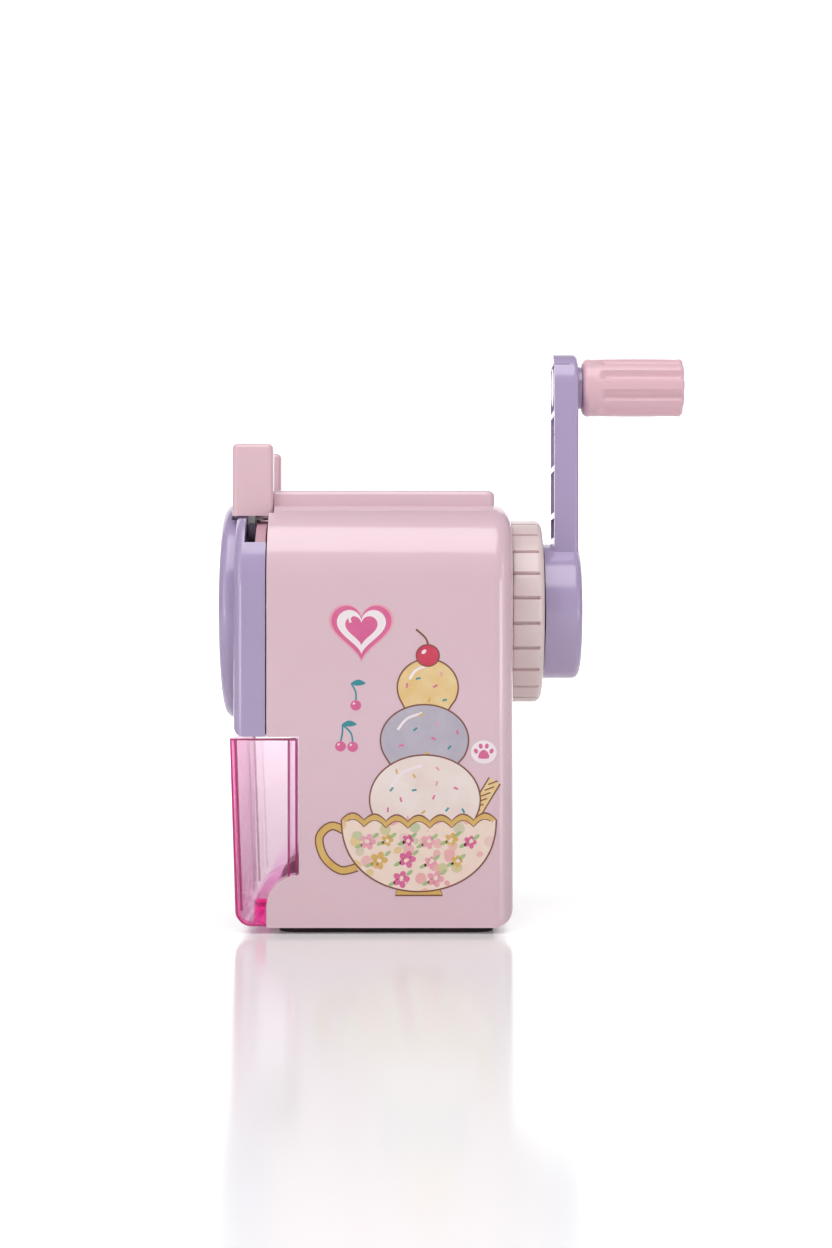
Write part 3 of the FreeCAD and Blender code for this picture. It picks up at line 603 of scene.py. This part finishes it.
def makePaintedEdgeGlow(e):
    low, high = placeOf("drawer")[:2]
    line = bpy.data.curves.new("drawerEdgeLines", "CURVE")
    line.dimensions = "3D"
    line.bevel_depth = e["radius"]
    line.bevel_resolution = 2
    line.use_fill_caps = True
    for y in (low.y + e["radius"], high.y - e["radius"]):
        for run in edgeRuns(e):
            spline = line.splines.new("POLY")
            spline.points.add(len(run) - 1)
            for point, (x, z) in zip(spline.points, run):
                point.co = (x, y, z, 1)
    holder = bpy.data.objects.new("drawerEdgeLines", line)
    bpy.context.scene.collection.objects.link(holder)
    graph = bpy.context.evaluated_depsgraph_get()
    mesh = bpy.data.meshes.new_from_object(holder.evaluated_get(graph))
    bpy.data.objects.remove(holder)
    softEdges(mesh, 50)
    mesh.materials.clear()
    piece = linkMesh("drawerEdgeGlow", mesh, paintedEdgeGlow(e))
    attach(piece, "drawer")


makePaintedEdgeGlow(edgeShape)


# printed picture on both sides
def smoothLine(points, closed=True, steps=8):
    # a smooth line through the points
    count = len(points)
    line = []
    for i in range(count if closed else count - 1):
        ends = [points[(i + k) % count] if closed else points[min(max(i + k, 0), count - 1)]
                for k in (-1, 0, 1, 2)]
        for j in range(steps):
            t = j / steps
            line.append(tuple(
                0.5 * (2 * b + (c - a) * t + (2 * a - 5 * b + 4 * c - d) * t * t
                       + (3 * b - a - 3 * c + d) * t * t * t)
                for a, b, c, d in zip(*ends)))
    if not closed:
        line.append(points[-1])
    return line


def oval(x, z, wide, tall, tilt=0.0, count=40):
    line = []
    for i in range(count):
        a = 2 * math.pi * i / count
        u, v = wide * math.cos(a), tall * math.sin(a)
        c, s = math.cos(tilt), math.sin(tilt)
        line.append((x + u * c - v * s, z + u * s + v * c))
    return line


class SidePrint:
    # flat ink shapes on one side wall, each layer a little above the last, in millimetres
    layerThick = 0.001
    underside = 0.001
    firstLayer = 3

    def __init__(self, side, half):
        self.bm = bmesh.new()
        self.side = side
        self.half = half
        self.inks = []
        self.layer = self.firstLayer

    def point(self, u, v, depth):
        return self.bm.verts.new((u * mm, self.side * (self.half + depth * mm), v * mm))

    def inkIndex(self, material):
        if material not in self.inks:
            self.inks.append(material)
        return self.inks.index(material)

    def fill(self, line, material, raised=True):
        if raised:
            self.layer += 1
        top = [self.point(u, v, self.layerThick * self.layer) for u, v in line]
        low = [self.point(u, v, self.underside) for u, v in line]
        faces = [self.bm.faces.new(top), self.bm.faces.new(low[::-1])]
        for i in range(len(line)):
            j = (i + 1) % len(line)
            faces.append(self.bm.faces.new((top[j], top[i], low[i], low[j])))
        for face in faces:
            face.material_index = self.inkIndex(material)

    def stroke(self, line, width, material, closed=False, raised=True):
        if raised:
            self.layer += 1
        count = len(line)
        rails = []
        for i in range(count):
            a = line[(i - 1) % count] if closed or i else line[i]
            b = line[(i + 1) % count] if closed or i < count - 1 else line[i]
            du, dv = b[0] - a[0], b[1] - a[1]
            size = math.hypot(du, dv) or 1.0
            du, dv = du / size * width / 2, dv / size * width / 2
            u, v = line[i]
            top, low = self.layerThick * self.layer, self.underside
            rails.append([self.point(u - dv, v + du, top), self.point(u + dv, v - du, top),
                          self.point(u + dv, v - du, low), self.point(u - dv, v + du, low)])
        faces = []
        for i in range(count if closed else count - 1):
            here, there = rails[i], rails[(i + 1) % count]
            for k in range(4):
                m = (k + 1) % 4
                faces.append(self.bm.faces.new((here[k], here[m], there[m], there[k])))
        if not closed:
            faces += [self.bm.faces.new(rails[0][::-1]), self.bm.faces.new(rails[-1])]
        for face in faces:
            face.material_index = self.inkIndex(material)

    def finish(self, name):
        bmesh.ops.triangulate(self.bm, faces=[f for f in self.bm.faces if len(f.verts) > 4])
        bmesh.ops.recalc_face_normals(self.bm, faces=self.bm.faces)
        mesh = bpy.data.meshes.new(name)
        self.bm.to_mesh(mesh)
        self.bm.free()
        for material in self.inks:
            mesh.materials.append(material)
        piece = linkMesh(name, mesh)
        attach(piece, "housing")


inks = {
    "line": ink("lineInk", srgb(146, 92, 74), srgb(122, 72, 58)),
    "mustard": ink("mustardInk", srgb(232, 194, 118), srgb(216, 170, 86)),
    "cream": ink("creamInk", srgb(250, 236, 222), srgb(246, 216, 200), 160.0),
    "honey": ink("honeyInk", srgb(236, 190, 110), srgb(246, 222, 176), 300.0),
    "lilacGrey": ink("lilacGreyInk", srgb(178, 170, 188), srgb(204, 196, 208), 200.0),
    "milk": ink("milkInk", srgb(250, 240, 234), srgb(240, 214, 208), 140.0),
    "red": ink("cherryInk", srgb(226, 84, 108), srgb(206, 52, 84), 300.0),
    "pink": ink("pinkInk", srgb(232, 120, 166), srgb(222, 96, 150), 200.0),
    "blush": ink("blushInk", srgb(244, 176, 190), srgb(238, 156, 174), 200.0),
    "white": ink("whiteInk", srgb(252, 246, 248), srgb(250, 232, 238), 200.0),
    "teal": ink("tealInk", srgb(70, 160, 170), srgb(48, 136, 150), 200.0),
    "leaf": ink("leafInk", srgb(160, 186, 128), srgb(186, 204, 150), 300.0),
    "floral": floralInk("floralInk"),
}
picture = {
    "line": 0.34,
    "scoops": [
        {"ink": "milk", "x": 7.4, "z": 28.6, "wide": 11.6, "tall": 9.3, "bits": 15},
        {"ink": "lilacGrey", "x": 7.3, "z": 41.2, "wide": 9.2, "tall": 7.4, "bits": 9},
        {"ink": "honey", "x": 8.0, "z": 52.4, "wide": 6.3, "tall": 5.9, "bits": 6},
    ],
    "cup": {"x": 6.1, "rim": 24.2, "wide": 16.3, "deep": 15.0, "scallops": 7, "lift": 1.5, "dip": 0.6,
            "flowers": [(-4.4, 6), (-8.6, 4), (-12.2, 2)], "flowerInset": 2.2,
            "handle": [(-9.0, 21.6), (-12.4, 23.0), (-15.0, 20.6), (-14.0, 16.4), (-10.6, 13.6),
                       (-7.0, 14.2)]},
    "wafer": {"x": 17.0, "z": 24.0, "across": 5.2, "up": 8.6, "bands": 7},
    "cherry": {"x": 8.0, "z": 59.2, "radius": 2.3, "stem": [(8.2, 60.6), (7.6, 62.8), (5.5, 64.8)]},
    "smallCherries": [(-7.3, 48.6, [(0, 0)]), (-9.2, 39.9, [(-1.35, 0), (1.25, -0.1)])],
    "heart": {"x": -6.1, "z": 65.0, "size": 0.43},
    "paw": {"x": 19.9, "z": 38.6},
    "seed": 7,
}


def heartLine(x, z, size):
    line = []
    for i in range(60):
        t = 2 * math.pi * i / 60
        u = 16 * math.sin(t) ** 3
        v = 13 * math.cos(t) - 5 * math.cos(2 * t) - 2 * math.cos(3 * t) - math.cos(4 * t)
        line.append((x - u * size, z + v * size))
    return line


def drawHeart(art, h):
    for size, shade in ((1.0, "blush"), (0.93, "pink"), (0.76, "white"), (0.5, "pink")):
        art.fill(heartLine(h["x"], h["z"], h["size"] * size), inks[shade])
    x, z = h["x"], h["z"]
    shine = smoothLine([(x - 2.3, z + 1.2), (x - 2.5, z + 2.2), (x - 1.7, z + 3.0)], False)
    art.stroke(shine, 0.5, inks["white"])


def drawCherry(art, x, z, r, shade="red"):
    art.fill(oval(x, z, r, r * 0.95), inks[shade])
    art.fill(oval(x - r * 0.35, z + r * 0.35, r * 0.26, r * 0.17, 0.7, 14), inks["white"])


def drawSmallCherries(art):
    for x, z, arms in picture["smallCherries"]:
        top = (x - 0.9, z + 4.6)
        for du, dv in arms:
            stalk = [(x + du, z + dv + 0.8), (x + du * 0.7, z + 2.8), top]
            art.stroke(smoothLine(stalk, False), 0.38, inks["teal"])
            drawCherry(art, x + du, z + dv, 1.15, "pink")
        leaf = [(top[0] + du, top[1] + dv) for du, dv in ((-0.2, 0), (1.4, 0.9), (3.0, 0.1), (1.4, -0.4))]
        art.fill(smoothLine(leaf, True, 5), inks["teal"])


def drawPaw(art, p):
    x, z = p["x"], p["z"]
    art.fill(oval(x, z + 0.1, 2.75, 2.45), inks["white"])
    pad = [(x + du, z + dv) for du, dv in ((-1.15, -1.1), (0, -1.35), (1.15, -1.1),
                                           (0.8, 0.1), (0, 0.55), (-0.8, 0.1))]
    art.fill(smoothLine(pad, True, 5), inks["pink"])
    for du, dv in ((-1.65, 0.3), (-0.65, 1.35), (0.65, 1.35), (1.65, 0.3)):
        art.fill(oval(x + du, z + dv, 0.42, 0.56, -du * 0.3, 18), inks["pink"], raised=False)


def scoopLine(s):
    line = []
    for i in range(72):
        a = 2 * math.pi * i / 72
        drip = max(0.0, -math.sin(a) - 0.35)
        u = s["wide"] * math.cos(a) * (1 + 0.07 * drip)
        v = s["tall"] * math.sin(a) + 0.9 * drip * math.sin(9 * a + 0.7)
        line.append((s["x"] + u, s["z"] + v))
    return line


def drawScoop(art, s, dice):
    line = scoopLine(s)
    art.stroke(line, picture["line"] * 2, inks["line"], True)
    art.fill(line, inks[s["ink"]])
    wide, tall = s["wide"], s["tall"]
    shine = [(s["x"] - wide * a, s["z"] + tall * b) for a, b in ((0.62, 0.3), (0.4, 0.62), (0.05, 0.78))]
    art.stroke(smoothLine(shine, False), 0.55, inks["white"])
    art.layer += 1
    for i in range(s["bits"]):
        a = 2.4 * i + dice.uniform(-0.2, 0.2)
        far = math.sqrt((i + 0.6) / s["bits"]) * 0.8
        u, v = s["x"] + wide * far * math.cos(a), s["z"] + tall * far * math.sin(a) + 0.4
        turn = dice.uniform(0, math.pi)
        du, dv = 0.5 * math.cos(turn), 0.5 * math.sin(turn)
        shade = ("pink", "teal", "mustard", "blush")[i % 4]
        art.stroke([(u - du, v - dv), (u + du, v + dv)], 0.42, inks[shade], raised=False)


def cupRim(c, count=84):
    line = []
    for i in range(count + 1):
        t = i / count
        scallop = c["lift"] * abs(math.sin(c["scallops"] * math.pi * t))
        line.append((c["x"] - c["wide"] + 2 * c["wide"] * t,
                     c["rim"] + scallop - c["dip"] * math.sin(math.pi * t)))
    return line


def drawCup(art, c, dice):
    rim = cupRim(c)
    bowl = []
    for i in range(1, 48):
        a = math.pi * i / 48
        bowl.append((c["x"] + c["wide"] * math.cos(a) * (1 - 0.05 * math.sin(a)),
                     c["rim"] - c["deep"] * math.sin(a) ** 0.8))
    handle = smoothLine(c["handle"], False)
    art.stroke(handle, 1.9, inks["line"])
    art.stroke(handle, 1.3, inks["mustard"])
    base = c["rim"] - c["deep"]
    foot = [(c["x"] + du, base + dv) for du, dv in ((-5.0, -0.8), (5.0, -0.8), (4.2, 0.8), (-4.2, 0.8))]
    art.stroke(foot, picture["line"] * 2, inks["line"], True)
    art.fill(foot, inks["mustard"])
    outline = rim[::-1] + bowl[::-1]
    art.stroke(outline, picture["line"] * 2, inks["line"], True)
    art.fill(outline, inks["floral"])
    drawFlowers(art, c, dice)
    art.stroke([(u, v - 0.5) for u, v in rim[1:-1]], 0.95, inks["mustard"])
    art.stroke([(u, v - 1.15) for u, v in rim[3:-3]], picture["line"] * 0.6, inks["line"])


def flowerReach(c, drop):
    return c["wide"] * math.sqrt(1 - (drop / c["deep"]) ** 2) - c["flowerInset"]


def drawFlowers(art, c, dice):
    art.layer += 1
    for drop, count in c["flowers"]:
        reach = flowerReach(c, drop)
        for i in range(count):
            u = c["x"] + reach * (2 * (i + 0.5) / count - 1) + dice.uniform(-0.4, 0.4)
            v = c["rim"] + drop + dice.uniform(-0.5, 0.5)
            big = dice.uniform(0.75, 1.15)
            shade = ("blush", "mustard", "pink")[(i + count) % 3]
            for k in range(5):
                a = 2 * math.pi * k / 5 + dice.uniform(-0.1, 0.1)
                art.fill(oval(u + big * math.cos(a), v + big * math.sin(a), 0.72 * big, 0.6 * big, a, 14),
                         inks[shade], raised=False)
            for turn in (0.7, 3.6):
                leafU, leafV = u + 2.1 * big * math.cos(turn), v + 2.0 * big * math.sin(turn)
                art.fill(oval(leafU, leafV, 0.85, 0.4, turn, 12), inks["leaf"], raised=False)
    art.layer += 1
    for drop, count in c["flowers"]:
        reach = flowerReach(c, drop)
        for i in range(count):
            u = c["x"] + reach * (2 * (i + 0.5) / count - 1)
            art.fill(oval(u, c["rim"] + drop, 0.42, 0.42, 0, 12), inks["cream"], raised=False)


def drawWafer(art, w):
    ends = [(w["x"], w["z"]), (w["x"] + w["across"], w["z"] + w["up"])]
    art.stroke(ends, 3.0, inks["line"])
    art.stroke(ends, 2.4, inks["honey"])
    art.layer += 1
    for i in range(w["bands"]):
        t = (i + 0.5) / w["bands"]
        u, v = w["x"] + w["across"] * t, w["z"] + w["up"] * t
        art.stroke([(u - 1.0, v - 0.2), (u + 1.0, v + 0.55)], 0.28, inks["line"], raised=False)


def drawPicture(side):
    half = abs(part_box("housing")[0][1])
    art = SidePrint(side, half)
    dice = random.Random(picture["seed"])
    drawHeart(art, picture["heart"])
    drawSmallCherries(art)
    drawPaw(art, picture["paw"])
    drawWafer(art, picture["wafer"])
    for scoop in picture["scoops"][::-1]:
        drawScoop(art, scoop, dice)
    cherry = picture["cherry"]
    x, z, radius = cherry["x"], cherry["z"], cherry["radius"]
    art.stroke(smoothLine(cherry["stem"], False), 0.4, inks["line"])
    art.stroke(oval(x, z, radius + 0.05, radius - 0.1), picture["line"] * 1.4, inks["line"], True)
    drawCherry(art, x, z, radius)
    drawCup(art, picture["cup"], dice)
    art.finish("sidePrintNear" if side < 0 else "sidePrintFar")


for side in (-1, 1):
    drawPicture(side)
print("side pictures printed")


# floor, backdrop, lights and camera
def stagePlane(name, corners, look):
    mesh = bpy.data.meshes.new(name)
    mesh.from_pydata(corners, [], [(0, 1, 2, 3)])
    material, tree, shader = newMaterial(name)
    far = tree.add("ShaderNodeVectorMath", {"operation": "LENGTH"}, [tree.place()], "Value")
    share = tree.add("ShaderNodeMapRange", {"interpolation_type": "SMOOTHSTEP"},
                     [far, look["from"], look["to"], 0.0, 1.0])
    near, away = look["glow"]
    joinUp(tree, shader, {
        "Base Color": look["colour"],
        "Roughness": look["rough"],
        "Specular IOR Level": look["shine"],
        "Emission Color": tree.mix(share, (near, near, near), (away, away, away)),
        "Emission Strength": 1.0,
    })
    linkMesh(name, mesh, material)


def softbox(name, place, aim, size, power):
    light = bpy.data.lights.new(name, "AREA")
    light.shape = "RECTANGLE"
    light.size, light.size_y = size
    light.energy = power
    lamp = bpy.data.objects.new(name, light)
    lamp.location = place
    lamp.rotation_euler = (Vector(aim) - Vector(place)).to_track_quat("-Z", "Y").to_euler()
    bpy.context.scene.collection.objects.link(lamp)


studio = {
    "span": 3.0, "wallFoot": -0.01, "wallTop": 3,
    "floor": {"colour": (0.92, 0.92, 0.92), "rough": 0.13, "shine": 0.22,
              "glow": (0.06, 0.66), "from": 0.0, "to": 0.9},
    "wall": {"colour": (0.9, 0.9, 0.9), "rough": 0.9, "shine": 0.5,
             "glow": (0.93, 0.93), "from": 0.0, "to": 1.0},
    "world": 0.14,
}
span = studio["span"]
low, high = studio["wallFoot"], studio["wallTop"]
stagePlane("studioFloor", [(-span, -span, 0), (span, -span, 0), (span, span, 0), (-span, span, 0)],
           studio["floor"])
stagePlane("studioWall", [(-span, span, low), (span, span, low), (span, span, high), (-span, span, high)],
           studio["wall"])
softbox("topBox", (-0.06, -0.28, 0.66), (0, 0, 0.06), (0.7, 0.5), 3.35)
softbox("leftBox", (-0.6, -0.45, 0.30), (0, 0, 0.06), (0.25, 0.6), 0.4)
softbox("lowLeftBox", (-0.55, -0.6, 0.06), (0, 0, 0.02), (0.25, 0.1), 0.36)
softbox("lowRightBox", (0.6, -0.6, 0.06), (0, 0, 0.02), (0.25, 0.1), 0.36)
softbox("leftStrip", (-0.9, -0.55, 0.30), (0, 0, 0.07), (0.035, 0.4), 0.45)
softbox("rightStrip", (0.9, -0.55, 0.30), (0, 0, 0.07), (0.035, 0.4), 0.45)
softbox("rightBox", (0.7, -0.35, 0.25), (0, 0, 0.07), (0.25, 0.5), 0.25)
world = bpy.data.worlds.new("studioWorld")
bpy.context.scene.world = world
world.use_nodes = True
sky = Tree(world.node_tree)
seen = sky.add("ShaderNodeLightPath", out="Is Camera Ray")
backdrop = world.node_tree.nodes["Background"]
sky.feed(backdrop.inputs["Color"], (1.0, 1.0, 1.0))
sky.feed(backdrop.inputs["Strength"], seen * (1.0 - studio["world"]) + studio["world"])

view = {"place": (0.0055, -0.495, 0.0659), "lens": 63.46, "sensor": 36.0}
cameraData = bpy.data.cameras.new("studioCamera")
cameraData.lens = view["lens"]
cameraData.sensor_width = view["sensor"]
camera = bpy.data.objects.new("studioCamera", cameraData)
camera.location = view["place"]
camera.rotation_euler = (math.pi / 2, 0, 0)
bpy.context.scene.collection.objects.link(camera)
bpy.context.scene.camera = camera
bpy.context.scene.view_settings.view_transform = "Standard"
print("studio ready")
